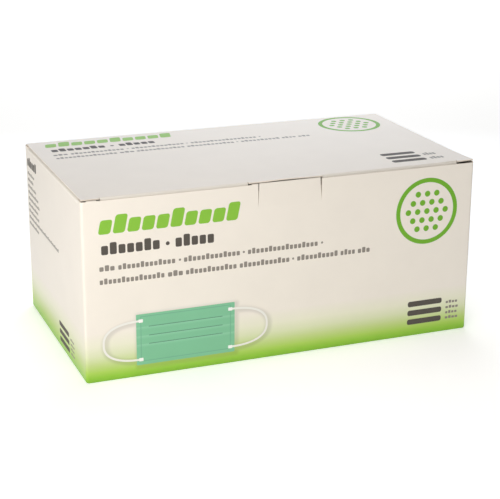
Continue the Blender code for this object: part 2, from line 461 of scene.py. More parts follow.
def gridded_blank(
    columns: Sequence[float], rows: Sequence[float], keep: Callable[[float, float], bool]
) -> bmesh.types.BMesh:
    """Cuts a flat sheet out of a grid.

    Args:
        columns: Places of the grid's lines along the sheet.
        rows: Places of its lines across the sheet.
        keep: Says whether the cell round a place stays.

    Returns:
        The sheet, flat in X and Y.
    """
    sheet = bmesh.new()
    across, up = len(columns) - 1, len(rows) - 1
    bmesh.ops.create_grid(sheet, x_segments=across, y_segments=up, size=0.5)
    for vert in sheet.verts:
        column, row = round((vert.co.x + 0.5) * across), round((vert.co.y + 0.5) * up)
        vert.co = (columns[column], rows[row], 0.0)
    dropped = [face for face in sheet.faces if not keep(*face.calc_center_median().xy)]
    bmesh.ops.delete(sheet, geom=dropped, context="FACES")
    return sheet


def crease_lines(sheet: bmesh.types.BMesh, axis: int, places: Sequence[float]) -> None:
    """Cuts lines across a flat sheet, so that it can bend along them.

    Args:
        sheet: The flat sheet.
        axis: 0 for lines at places in X, 1 for lines at places in Y.
        places: Where the lines lie.
    """
    way = Vector((1 - axis, axis, 0))
    for place in places:
        bmesh.ops.bisect_plane(
            sheet,
            geom=[*sheet.verts, *sheet.edges, *sheet.faces],
            dist=CUT_SLACK,
            plane_co=way * place,
            plane_no=way,
        )


def rounded(
    sheet: bmesh.types.BMesh, corners: Sequence[bmesh.types.BMVert], radius: float, steps: int
) -> None:
    """Rounds corners of a flat sheet to this radius, in this number of steps."""
    bmesh.ops.bevel(
        sheet, geom=corners, affect="VERTICES", offset=radius, segments=steps, profile=0.5, material=-1
    )


def outlined_blank(
    corners: Sequence[tuple[float, float, float]], along: Sequence[float], across: Sequence[float] = ()
) -> bmesh.types.BMesh:
    """Cuts a flat sheet with rounded corners.

    Args:
        corners: Its corners anticlockwise, as (x, y, radius).
        along: Places in X where it gets a line across, to bend on.
        across: Places in Y where it gets a line along.

    Returns:
        The sheet, flat in X and Y.
    """
    sheet = bmesh.new()
    verts = [sheet.verts.new((x, y, 0.0)) for x, y, _ in corners]
    sheet.faces.new(verts)
    for vert, (_, _, radius) in zip(verts, corners):
        if radius:
            rounded(sheet, [vert], radius, 8)
    crease_lines(sheet, 0, along)
    crease_lines(sheet, 1, across)
    return sheet


def thicken(sheet: bmesh.types.BMesh, thickness: float) -> None:
    """Gives a folded sheet its thickness inwards, with a slot for each of its sides.

    Args:
        sheet: The outer skin, its faces pointing outwards.
        thickness: Thickness of the board.
    """
    sheet.normal_update()
    inward = sheet.verts.layers.float_vector.new("inward")
    for vert in sheet.verts:
        vert[inward] = -vert.normal * vert.calc_shell_factor() * thickness
    skin = set(sheet.faces)
    made = bmesh.ops.extrude_face_region(sheet, geom=list(skin))["geom"]
    back = {item for item in made if isinstance(item, bmesh.types.BMFace)}
    for item in made:
        if isinstance(item, bmesh.types.BMVert):
            item.co += item[inward]
    for face in sheet.faces:
        face.material_index = Side.PRINTED if face in skin else Side.GREY if face in back else Side.CUT
    sheet.verts.layers.float_vector.remove(inward)
    bmesh.ops.recalc_face_normals(sheet, faces=sheet.faces[:])


def finished(
    sheet: bmesh.types.BMesh, name: str, finishes: Sequence[Finish], sharp: float = math.radians(35)
) -> bpy.types.Object:
    """Turns a bmesh into a piece of the scene.

    Args:
        sheet: The piece's mesh, which is freed.
        name: The piece's name.
        finishes: Its finishes, in the order of their slots.
        sharp: Edges that bend more than this are shaded as corners.

    Returns:
        The piece, at the origin.
    """
    mesh = bpy.data.meshes.new(name)
    sheet.to_mesh(mesh)
    sheet.free()
    mesh.shade_smooth()
    mesh.set_sharp_from_angle(angle=sharp)
    for finish in finishes:
        mesh.materials.append(finish.build())
    piece = bpy.data.objects.new(name, mesh)
    bpy.context.scene.collection.objects.link(piece)
    log.info("%s: %d faces", name, len(mesh.polygons))
    return piece


def folded_board(
    sheet: bmesh.types.BMesh, place: Placing, name: str, finishes: Sequence[Finish], thickness: float
) -> bpy.types.Object:
    """Folds a flat sheet, thickens it and makes it a piece.

    Args:
        sheet: The flat sheet.
        place: Where each place of the sheet comes to lie.
        name: The piece's name.
        finishes: Its finishes, in the order of Side.
        thickness: Thickness of the board.

    Returns:
        The piece.
    """
    for vert in sheet.verts:
        vert.co = place(vert.co.x, vert.co.y)
    thicken(sheet, thickness)
    return finished(sheet, name, finishes)


def paint_crease_highlight(piece: bpy.types.Object, creased: Callable[[Vector], bool]) -> None:
    """Gives the printed faces along a crease the paler board of a painted highlight.

    Args:
        piece: The piece of board.
        creased: Says whether a face with this middle lies on the crease.
    """
    for face in piece.data.polygons:
        if face.material_index == Side.PRINTED and creased(face.center):
            face.material_index = Side.PAINTED_HIGHLIGHT


@dataclass
class Blank:
    """The sizes that the whole carton shares, and the slight bow of its panels.

    Attributes:
        length: Outside length, along X.
        depth: Outside depth, along Y.
        height: Outside height.
        board: Thickness of the board.
        clearance: Gap between two pieces that move apart.
        radius: Outer radius of a crease.
        foot_radius: Outer radius of the creases at the foot.
        spacing: The most between two lines on which a panel bends.
        front_drop: How far the front wall's raw edge lies under the top.
        seam_height: Height where the back wall ends and the lid's piece starts.
        seam_left: Left end of that seam.
        seam_right: Its right end.
        flap_seam_height: Height where an end wall ends and its dust flap's piece starts.
        tab_line: Height of the lock tab's crease.
        tab_left: The tab's left edge.
        tab_right: Its right edge.
        slot_left: Left end of the slot over the tab.
        slot_right: Its right end.
        end_slit: Length of a slit lock.
        lid_half: Half the lid's length.
        flap_front: Where an end wall's flaps start.
        flap_back: Where they end.
        wall_bow: How far a wall stands out at its middle.
        lid_crown: How far the lid's middle stands up.
        slot_lift: How far the lid lifts at the slot.
        slot_lift_reach: How far that lift reaches along the lid.
        slot_lift_start: How far in front of the middle it starts.
        slot_lift_run: Over what distance it then grows to its full height.
        corner_lift: How far the lid's right front corner lifts.
        corner_lift_reach: How far that lift reaches.
        seam: Gap between a raw edge and the lid over it.
    """

    length: float = 180 * MM
    depth: float = 100 * MM
    height: float = 80 * MM
    board: float = 0.5 * MM
    clearance: float = 0.3 * MM
    radius: float = 1.2 * MM
    foot_radius: float = 0.6 * MM
    spacing: float = 4.5 * MM
    front_drop: float = 0.9 * MM
    seam_height: float = 78.55 * MM
    seam_left: float = -88.7 * MM
    seam_right: float = 87.7 * MM
    flap_seam_height: float = 77.6 * MM
    tab_line: float = 69 * MM
    tab_left: float = -13.3 * MM
    tab_right: float = 15.9 * MM
    slot_left: float = -17.3 * MM
    slot_right: float = 16.2 * MM
    end_slit: float = 8.2 * MM
    lid_half: float = 89.6 * MM
    flap_front: float = -46 * MM
    flap_back: float = 44.5 * MM
    wall_bow: float = 0.35 * MM
    lid_crown: float = 0.3 * MM
    slot_lift: float = 0.3 * MM
    slot_lift_reach: float = 11 * MM
    slot_lift_start: float = 28 * MM
    slot_lift_run: float = 21 * MM
    corner_lift: float = 0.5 * MM
    corner_lift_reach: float = 11 * MM
    seam: float = 0.1 * MM

    @property
    def front_top(self) -> float:
        """Height of the front wall's raw edge."""
        return self.height - self.front_drop

    @property
    def touching_top(self) -> float:
        """Height of a raw edge that almost touches the lid from below."""
        return self.height - self.board - self.seam

    @property
    def upper_line(self) -> float:
        """Height where the dust flaps' creases start."""
        return self.touching_top - self.radius

    def bow(self, u: float, v: float) -> float:
        """Gives how far a wall stands out, from its place across and up it, each from -1 to 1."""
        return self.wall_bow * max(0.0, 1 - abs(u) ** 7) * max(0.0, 1 - abs(v) ** 2.5)

    def front_skin(self, x: float, z: float) -> Vector:
        """Gives the point of the front wall's outside at x and z."""
        out = self.bow(2 * x / self.length, 2 * z / self.height - 1)
        return Vector((x, -self.depth / 2 - out, z))

    def left_skin(self, u: float, z: float) -> Vector:
        """Gives the point of the left wall's outside, with u running from back to front."""
        out = self.bow(2 * u / self.depth, 2 * z / self.height - 1)
        return Vector((-self.length / 2 - out, -u, z))

    def lid_rise(self, x: float, y: float) -> float:
        """Gives how far the lid stands over its level: a crown, with lifts at the slot and at one corner."""
        u, v = 2 * x / self.length, 2 * y / self.depth
        crown = self.lid_crown * max(0.0, 1 - u * u) * max(0.0, 1 - v * v)
        off_slot = (x - (self.slot_left + self.slot_right) / 2) / self.slot_lift_reach
        nearness = min(1.0, max(0.0, (-y - self.slot_lift_start) / self.slot_lift_run))
        off_corner = math.hypot(x - self.length / 2, y + self.depth / 2) / self.corner_lift_reach
        lift = self.slot_lift * math.exp(-off_slot * off_slot) * nearness**2
        return crown + lift + self.corner_lift * math.exp(-off_corner * off_corner)

    def lid_skin(self, x: float, y: float) -> Vector:
        """Gives the point of the lid's outside at x and y."""
        return Vector((x, y, self.height + self.lid_rise(x, y)))


@dataclass
class Walls:
    """The four walls and the glue flap, one strip of board creased at the corners.

    Attributes:
        blank: The carton's shared sizes.
        glue_width: Width of the glue flap.
        foot_gap: Height of the plain corners' lower edge.
        end_line: Height where the end walls' lower creases start.
        front_line: Height where the front wall's lower crease starts.
        seam_inset: How far the strip's end stays short of the glued corner.
        touching_spans: Where the front wall reaches up to the lid's raw edge.
    """

    blank: Blank
    glue_width: float = 15 * MM
    foot_gap: float = 0.8 * MM
    end_line: float = 0.8 * MM
    front_line: float = 0.6 * MM
    seam_inset: float = 0.4 * MM
    touching_spans: tuple[tuple[float, float], ...] = ((-87.6 * MM, -83.4 * MM), (-16.2 * MM, -13.3 * MM))

    def __post_init__(self) -> None:
        """Lays out the walls seen from above, anticlockwise from the glue flap's edge."""
        blank, radius = self.blank, self.blank.radius
        tucked = blank.board + blank.clearance
        start = (blank.length / 2 - tucked, blank.depth / 2 - radius - self.glue_width)
        long_run, end_run = blank.length - 2 * radius, blank.depth - 2 * radius
        self.plan = CreasedPath(
            start,
            RIGHT_ANGLE,
            [
                Leg(self.glue_width, RIGHT_ANGLE),
                Leg(long_run - tucked, RIGHT_ANGLE),
                Leg(end_run, RIGHT_ANGLE),
                Leg(long_run, RIGHT_ANGLE),
                Leg(end_run + radius - self.seam_inset),
            ],
            radius,
        )

    def wall_at(self, along: float) -> Wall:
        """Says which wall a place along the strip is on."""
        for index, wall in enumerate((Wall.GLUE, Wall.BACK, Wall.LEFT, Wall.FRONT, Wall.RIGHT)):
            start = self.plan.leg_start(index)
            if start <= along <= start + self.plan.legs[index].length:
                return wall
        return Wall.CORNER

    def crease_line(self, along: float) -> float:
        """Gives the height where the strip turns in at its foot, which changes round a front corner."""
        wall = self.wall_at(along)
        if wall is not Wall.CORNER:
            return {Wall.FRONT: self.front_line, Wall.BACK: -1.0}.get(wall, self.end_line)
        front, arc = self.plan.leg_start(3), self.blank.radius * RIGHT_ANGLE
        right = self.plan.leg_start(4)
        if front - arc < along < front:
            share = (front - along) / arc
        elif right - arc < along < right:
            share = 1 - (right - along) / arc
        else:
            return -1.0
        return self.front_line + share * (self.end_line - self.front_line)

    def crease_foot(self, line: float, turn: float = RIGHT_ANGLE) -> float:
        """Gives how low on the flat sheet a crease ends that starts at this height."""
        return line - self.blank.foot_radius * turn

    def extent(self, along: float) -> tuple[float, float]:
        """Gives the lowest and highest place of the strip there, on the flat sheet."""
        blank = self.blank
        wall = self.wall_at(along)
        point, _ = self.plan.at(along)
        across = point.x if wall is Wall.FRONT or wall is Wall.BACK else point.y
        flat_half = (blank.length if wall is Wall.FRONT else blank.depth) / 2 - blank.radius
        line = self.crease_line(along)
        low = self.crease_foot(line)
        if wall is Wall.GLUE:
            return self.end_line, blank.upper_line
        if wall is Wall.BACK and blank.seam_left < across < blank.seam_right:
            return self.foot_gap, blank.seam_height
        if wall is Wall.FRONT:
            if blank.tab_left < across < blank.tab_right:
                return low, blank.tab_line
            touching = any(start < across < end for start, end in self.touching_spans)
            return low, blank.touching_top if touching else blank.front_top
        if wall in (Wall.LEFT, Wall.RIGHT) and abs(across) < flat_half:
            on_flap = blank.flap_front < across < blank.flap_back
            return low, blank.flap_seam_height if on_flap else blank.touching_top
        if line > 0:
            return self.crease_foot(line, math.radians(65)), blank.front_top
        return self.foot_gap, blank.touching_top

    def place(self, along: float, up: float) -> Vector:
        """Folds a place of the flat strip.

        Args:
            along: Its place along the strip.
            up: Its place up the strip.

        Returns:
            The point.
        """
        blank = self.blank
        point, outward = self.plan.at(along)
        wall = self.wall_at(along)
        middle = blank.height / 2
        if wall is Wall.GLUE:
            taper = 1 - 0.1 * (1 - along / self.glue_width)
            return Vector((*point, middle + (up - middle) * taper))
        half = (blank.length if wall in (Wall.FRONT, Wall.BACK) else blank.depth) / 2
        across = point.x if wall in (Wall.FRONT, Wall.BACK) else point.y
        stand = 0.0 if wall is Wall.CORNER else blank.bow(across / half, (up - middle) / middle)
        line = self.crease_line(along)
        if up < line:
            angle = (line - up) / blank.foot_radius
            stand -= blank.foot_radius * (1 - math.cos(angle))
            up = line - blank.foot_radius * math.sin(angle)
        return Vector((*(point + outward * stand), up))

    def build(self) -> bpy.types.Object:
        """Makes the walls.

        Returns:
            The piece.
        """
        blank = self.blank
        front, back = self.plan.leg_start(3), self.plan.leg_start(1)
        front_middle = front + blank.length / 2 - blank.radius
        flap_edges = []
        for index, way in ((2, -1), (4, 1)):
            middle = self.plan.leg_start(index) + blank.depth / 2 - blank.radius
            reach = blank.depth / 2 - blank.radius - blank.clearance
            flap_edges += [middle + way * y for y in (blank.flap_front, blank.flap_back, -reach, reach)]
            flap_edges.append(middle + blank.depth / 2 - blank.radius)
        reach = blank.length / 2 - blank.radius - blank.clearance
        front_edges = [front_middle + x for x in (blank.tab_left, blank.tab_right, -reach, reach)]
        front_edges += [front_middle + x for span in self.touching_spans for x in span]
        middle = back + blank.length / 2 - blank.board - blank.clearance
        back_edges = [middle - x for x in (blank.seam_left, blank.seam_right)]
        columns = merged(self.plan.marks(blank.spacing), flap_edges, front_edges, back_edges)
        rows = merged(
            between(self.crease_foot(self.front_line), self.front_line, 0.2 * MM),
            between(self.crease_foot(self.end_line), self.end_line, 0.2 * MM),
            [self.foot_gap],
            between(self.end_line, blank.tab_line, blank.spacing),
            between(blank.tab_line, blank.flap_seam_height, blank.spacing),
            [blank.upper_line, blank.seam_height, blank.front_top, blank.touching_top],
        )

        def keep(along: float, up: float) -> bool:
            """Says whether the strip has board there."""
            low, high = self.extent(along)
            return low < up < high

        sheet = gridded_blank(columns, rows, keep)
        piece = folded_board(sheet, self.place, "walls_board", BOARD_SIDES, blank.board)
        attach(piece, "carton")
        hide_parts("carton_walls")
        return piece


@dataclass
class Lid:
    """The lid: its crease on the back wall, the panel and the rounded front fold, and the tuck flap below it.

    Attributes:
        blank: The carton's shared sizes.
        lean: How far past upright the front fold turns.
        raw_reach: How far past the fold's start the raw edges at the slits and the slot reach.
        tuck_depth: Depth of the tuck flap.
        tuck_half: Half its length.
        tuck_corner: Radius of its corners.
        slit_opening: Depth of its shoulders beside the slit locks.
        slot_notch: Depth of its notch behind the slot.
    """

    blank: Blank
    lean: float = math.radians(10.5)
    raw_reach: float = 1.4 * MM
    tuck_depth: float = 17 * MM
    tuck_half: float = 87.3 * MM
    tuck_corner: float = 12 * MM
    slit_opening: float = 1.55 * MM
    slot_notch: float = 3.05 * MM

    def __post_init__(self) -> None:
        """Lays out the lid seen from its side, from the back wall up and over to the front."""
        blank = self.blank
        tucked = blank.board + blank.clearance
        rise = blank.height - blank.radius - blank.seam_height
        run = blank.depth - 2 * blank.radius - tucked
        self.profile = CreasedPath(
            (blank.depth / 2, blank.seam_height),
            RIGHT_ANGLE,
            [Leg(rise, RIGHT_ANGLE), Leg(run, RIGHT_ANGLE + self.lean), Leg(self.tuck_depth)],
            blank.radius,
        )
        self.panel_start = self.profile.leg_start(1)
        self.fold_start = self.panel_start + run
        self.fold_end = self.profile.leg_start(2)

    def place(self, along: float, x: float) -> Vector:
        """Folds a place of the lid's flat sheet.

        Args:
            along: Its place from the back wall towards the front.
            x: Its place along the carton.

        Returns:
            The point.
        """
        blank = self.blank
        point, _ = self.profile.at(along)
        if along < self.panel_start:
            stand = blank.bow(2 * x / blank.length, 2 * point.y / blank.height - 1)
            point.x += stand * (1 - along / self.panel_start)
        if along > self.fold_start and self.is_raw(x):
            point, _ = self.profile.at(self.fold_start)
            point.x -= along - self.fold_start
        return Vector((x, *point)) + Vector((0, 0, blank.lid_rise(x, point.x)))

    def is_raw(self, x: float) -> bool:
        """Says whether the lid ends in a raw edge there, at a slit lock or over the slot."""
        blank = self.blank
        slit = blank.length / 2 - blank.end_slit
        slack = 0.01 * MM
        return abs(x) > slit - slack or blank.slot_left - slack < x < blank.slot_right + slack

    def keep(self, along: float, x: float) -> bool:
        """Says whether the lid has board there."""
        blank = self.blank
        if along < self.panel_start:
            return blank.seam_left < x < blank.seam_right
        if along < self.fold_start:
            return True
        slit = blank.length / 2 - blank.end_slit
        gap = blank.clearance
        spans = ((-slit + gap, blank.slot_left - gap), (blank.slot_right + gap, slit - gap))
        if any(start < x < end for start, end in spans):
            return True
        return self.is_raw(x) and along < self.fold_start + self.raw_reach

    def build(self) -> bpy.types.Object:
        """Makes the lid.

        Returns:
            The piece.
        """
        blank = self.blank
        slit = blank.length / 2 - blank.end_slit
        edges = [sign * edge for sign in (-1, 1) for edge in (slit, slit - blank.clearance)]
        edges += [blank.slot_left, blank.slot_left - blank.clearance]
        edges += [blank.slot_right, blank.slot_right + blank.clearance, blank.seam_left, blank.seam_right]
        rows = merged(between(-blank.lid_half, blank.lid_half, blank.spacing), edges)
        columns = merged(
            [mark for mark in self.profile.marks(blank.spacing, 7) if mark <= self.fold_end + 0.001 * MM],
            [self.fold_start + self.raw_reach],
        )
        sheet = gridded_blank(columns, rows, self.keep)
        piece = folded_board(sheet, self.place, "lid_board", CREASE_HIGHLIGHT_SIDES, blank.board)
        top = blank.height
        # The printed faces of the front fold, below the top, get the paler board: a painted highlight
        paint_crease_highlight(piece, lambda middle: middle.z < top - 0.1 * MM)
        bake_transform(piece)
        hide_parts("lid_panel")
        return piece

    def build_tuck_flap(self) -> bpy.types.Object:
        """Makes the tuck flap inside the front wall.

        Returns:
            The piece.
        """
        blank = self.blank
        slit = blank.length / 2 - blank.end_slit - blank.clearance
        left, right = blank.slot_left - blank.clearance, blank.slot_right + blank.clearance
        opening, notch, depth, half = self.slit_opening, self.slot_notch, self.tuck_depth, self.tuck_half
        corners = [
            (0, -slit, 0),
            (opening, -slit, 0),
            (opening, -half, 0),
            (depth, -half, self.tuck_corner),
            (depth, half, self.tuck_corner),
            (opening, half, 0),
            (opening, slit, 0),
            (0, slit, 0),
            (0, right, 0),
            (notch, right, 0),
            (notch, left, 0),
            (0, left, 0),
        ]
        sheet = outlined_blank(corners, between(0, 1.4 * MM, 0.35 * MM)[1:])
        start, _ = self.profile.at(self.fold_end)
        end, _ = self.profile.at(self.fold_end + 1.3 * MM)

        def place(along: float, x: float) -> Vector:
            """Puts a place of the flap below the lid's fold."""
            point, _ = self.profile.at(self.fold_end + along)
            return Vector((x, *point))

        piece = folded_board(sheet, place, "tuck_flap_board", SHADED_LID_SIDES, blank.board)
        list(start)
        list(end)
        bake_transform(piece)
        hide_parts("tuck_flap")
        return piece


@dataclass
class EndFlaps:
    """The dust flaps over the end walls and the bottom flaps under them, with their creases.

    Attributes:
        blank: The carton's shared sizes.
        depth: How far a flap reaches past its crease.
        lean: How far a dust flap hangs below level.
        drawn_in: How much narrower its back edge is at the tip.
        corner: Radius of its corners.
    """

    blank: Blank
    depth: float = 42 * MM
    lean: float = math.radians(5)
    drawn_in: float = 16.7 * MM
    corner: float = 8 * MM

    def build(self, side: int, name: str) -> bpy.types.Object:
        """Makes a dust flap.

        Args:
            side: -1 for the left end, 1 for the right.
            name: The side's name.

        Returns:
            The piece.
        """
        blank = self.blank
        seam = blank.flap_seam_height
        profile = CreasedPath(
            (blank.length / 2, seam),
            RIGHT_ANGLE,
            [Leg(blank.upper_line - seam, RIGHT_ANGLE + self.lean), Leg(self.depth)],
            blank.radius,
        )
        root = profile.leg_start(1)
        tip = root + self.depth - 0.1 * MM
        front, back = blank.flap_front, blank.flap_back
        corners = [
            (0, front, 0),
            (tip, front, self.corner),
            (tip, back - self.drawn_in, self.corner),
            (root, back, 0),
            (0, back, 0),
        ]
        sheet = outlined_blank(corners, [mark for mark in profile.marks(6 * MM) if 0 < mark < tip])

        def place(along: float, y: float) -> Vector:
            """Folds a place of the flap, which starts out on the bowed wall."""
            point, _ = profile.at(along)
            bow = blank.bow(2 * y / blank.depth, 2 * point.y / blank.height - 1)
            return Vector((side * (point.x + bow * max(0.0, 1 - along / root)), y, point.y))

        if side > 0:
            bmesh.ops.reverse_faces(sheet, faces=sheet.faces[:])
        piece = folded_board(sheet, place, f"{name}_dust_flap_board", CREASE_HIGHLIGHT_SIDES, blank.board)
        reach = blank.length / 2
        # The printed faces along the flap's crease get the paler board: a painted highlight
        paint_crease_highlight(piece, lambda middle: abs(middle.x) > reach - blank.radius)
        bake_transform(piece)
        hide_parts(f"dust_flap_{name}")
        return piece

    def build_lower(self, side: int, name: str) -> bpy.types.Object:
        """Makes a bottom flap, lying on the bottom panel.

        Args:
            side: -1 for the left end, 1 for the right.
            name: The side's name.

        Returns:
            The piece.
        """
        blank = self.blank
        reach = blank.length / 2 - blank.foot_radius
        level = blank.board + blank.clearance
        front, back = blank.flap_front, blank.flap_back
        corners = [
            (0, front, 0),
            (self.depth, front, self.corner),
            (self.depth, back - self.drawn_in, self.corner),
            (0, back, 0),
        ]
        sheet = outlined_blank(corners, [])

        def place(along: float, y: float) -> Vector:
            """Puts a place of the flap on the bottom."""
            return Vector((side * (reach - along), y, level))

        if side < 0:
            bmesh.ops.reverse_faces(sheet, faces=sheet.faces[:])
        piece = folded_board(sheet, place, f"{name}_bottom_flap_board", SHADED_LID_SIDES, blank.board)
        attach(piece, "carton")
        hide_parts(f"bottom_flap_{name}")
        return piece


@dataclass
class Bottom:
    """The glued bottom panel, with its back edge folded up inside the back wall.

    Attributes:
        blank: The carton's shared sizes.
        tuck: Height of the part folded up.
        half: Half the panel's length.
        tuck_half: Half the length of the part folded up.
    """

    blank: Blank
    tuck: float = 14.8 * MM
    half: float = 89.3 * MM
    tuck_half: float = 88.2 * MM

    def build(self) -> bpy.types.Object:
        """Makes the bottom panel.

        Returns:
            The piece.
        """
        blank = self.blank
        front = -blank.depth / 2 + blank.foot_radius + blank.clearance
        back = blank.depth / 2 - blank.board - blank.clearance
        run = back - blank.radius - front
        profile = CreasedPath((front, 0.0), 0.0, [Leg(run, RIGHT_ANGLE), Leg(self.tuck)], blank.radius)
        end = profile.leg_start(1) + self.tuck
        columns = merged([mark for mark in profile.marks(40 * MM) if mark <= end])
        rows = merged([-self.half, -self.tuck_half, self.tuck_half, self.half])

        def keep(along: float, x: float) -> bool:
            """Says whether the bottom has board there; at the right, the glue flap takes the fold's place."""
            on_fold = along < profile.leg_start(1) and x < 0
            return along < run or on_fold or abs(x) < self.tuck_half

        def place(along: float, x: float) -> Vector:
            """Folds a place of the bottom."""
            point, _ = profile.at(along)
            return Vector((x, *point))

        sheet = gridded_blank(columns, rows, keep)
        piece = folded_board(sheet, place, "bottom_board", SHADED_LID_SIDES, blank.board)
        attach(piece, "carton")
        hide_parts("bottom_panel")
        return piece


@dataclass
class LockTab:
    """The tab between two slits in the front wall, pressed slightly in at its top.

    Attributes:
        blank: The carton's shared sizes.
        taper: How much its top is drawn in at each side.
        lean: How far it leans in.
    """

    blank: Blank
    taper: float = 0.6 * MM
    lean: float = math.radians(2.0)

    def build(self) -> bpy.types.Object:
        """Makes the tab.

        Returns:
            The piece.
        """
        blank = self.blank
        foot, top = blank.tab_line, blank.touching_top
        corners = [
            (blank.tab_left, foot, 0),
            (blank.tab_right, foot, 0),
            (blank.tab_right - self.taper, top, 0),
            (blank.tab_left + self.taper, top, 0),
        ]
        lines = [*between(foot, foot + 1.4 * MM, 0.35 * MM)[1:], foot + 4 * MM, foot + 7 * MM]
        sheet = outlined_blank(corners, between(blank.tab_left, blank.tab_right, 5 * MM)[1:-1], lines)

        def place(x: float, z: float) -> Vector:
            """Puts a place of the tab in the front wall, leaning in above its crease."""
            pressed = math.tan(self.lean) * max(0.0, z - foot)
            return blank.front_skin(x, z) + Vector((0, pressed, 0))

        piece = folded_board(sheet, place, "lock_tab_board", BOARD_SIDES, blank.board)
        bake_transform(piece)
        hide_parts("lock_tab")
        return piece


# Print


@dataclass
class Artwork:
    """Flat shapes of one ink, drawn in the two axes of a panel and then laid on it as a thin film.

    Attributes:
        name: The piece's name.
        ink: Its finish.
        slot: Name of a material slot; not used.
        proud: How far the film stands out of the board.
        sunk: How far its underside lies in the board, so that no gap shows.
        spacing: The most between two lines on which it bends with the board.
        tall_share: Height of every fourth block of a word, as a share of the others' height.
        block_corner: Radius of a block's corners, as a share of its smaller side.
    """

    name: str
    ink: Finish
    slot: str
    proud: float = 0.02 * MM
    sunk: float = 0.03 * MM
    spacing: float = 5 * MM
    tall_share: float = 1.32
    block_corner: float = 0.22
    shapes: bmesh.types.BMesh = field(default_factory=bmesh.new)

    def block(
        self, u: float, v: float, width: float, height: float, radius: float = 0.0, slant: float = 0.0
    ) -> None:
        """Draws a block with rounded corners.

        Args:
            u: Its left edge.
            v: Its foot.
            width: Its width.
            height: Its height.
            radius: Radius of its corners.
            slant: How far its top leans to the right, as a share of its height.
        """
        lean = Matrix(((width, slant * height, 0, 0), (0, height, 0, 0), (0, 0, 1, 0), (0, 0, 0, 1)))
        middle = Matrix.Translation((u + width / 2 + slant * height / 2, v + height / 2, 0))
        made = bmesh.ops.create_grid(self.shapes, x_segments=1, y_segments=1, size=0.5, matrix=middle @ lean)
        if radius:
            rounded(self.shapes, made["verts"], radius, 3)

    def dot(self, u: float, v: float, radius: float) -> None:
        """Draws a round dot."""
        bmesh.ops.create_circle(
            self.shapes, cap_ends=True, segments=20, radius=radius, matrix=Matrix.Translation((u, v, 0))
        )

    def ring(self, u: float, v: float, radius: float, width: float) -> None:
        """Draws a ring of this outer radius and width."""
        rims: list[bmesh.types.BMEdge] = []
        for size in (radius, radius - width):
            made = bmesh.ops.create_circle(
                self.shapes, segments=72, radius=size, matrix=Matrix.Translation((u, v, 0))
            )
            rims += {edge for vert in made["verts"] for edge in vert.link_edges}
        bmesh.ops.bridge_loops(self.shapes, edges=rims)

    def words(
        self,
        spans: Sequence[tuple[float, float]],
        foot: float,
        height: float,
        pitch: float,
        gap: float,
        slant: float = 0.0,
    ) -> None:
        """Draws a line of words as rows of plain blocks.

        Args:
            spans: Where each word starts and ends.
            foot: The line's foot.
            height: Height of a block.
            pitch: About how far apart the blocks stand.
            gap: Space between two blocks.
            slant: Their lean to the right.
        """
        for start, end in spans:
            count = max(1, round((end - start) / pitch))
            width = (end - start + gap) / count - gap
            for index in range(count):
                tall = height * (self.tall_share if index % 4 == 1 else 1.0)
                left = start + index * (width + gap)
                self.block(left, foot, width, tall, min(width, height) * self.block_corner, slant)

    def lay(self, skin: Placing, body: str) -> bpy.types.Object:
        """Lays the shapes on a panel.

        Args:
            skin: The panel's outside, as a point for each place.
            body: The body that the panel belongs to.

        Returns:
            The piece.
        """
        shapes = self.shapes
        corners = [vert.co.copy() for vert in shapes.verts]
        for axis in (0, 1):
            places = [corner[axis] for corner in corners]
            crease_lines(shapes, axis, between(min(places), max(places), self.spacing)[1:-1])
        step, middle = 0.5 * MM, 40 * MM
        origin = skin(0, middle)
        outward = (skin(step, middle) - origin).cross(skin(0, middle + step) - origin)
        outward.normalize()
        foot = outward * -self.sunk
        rise = outward * (self.proud + self.sunk)
        for vert in shapes.verts:
            vert.co = skin(vert.co.x, vert.co.y) + foot
        made = bmesh.ops.extrude_face_region(shapes, geom=shapes.faces[:])["geom"]
        bmesh.ops.translate(shapes, verts=[v for v in made if isinstance(v, bmesh.types.BMVert)], vec=rise)
        bmesh.ops.recalc_face_normals(shapes, faces=shapes.faces[:])
        piece = finished(shapes, self.name, [self.ink])
        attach(piece, body)
        return piece


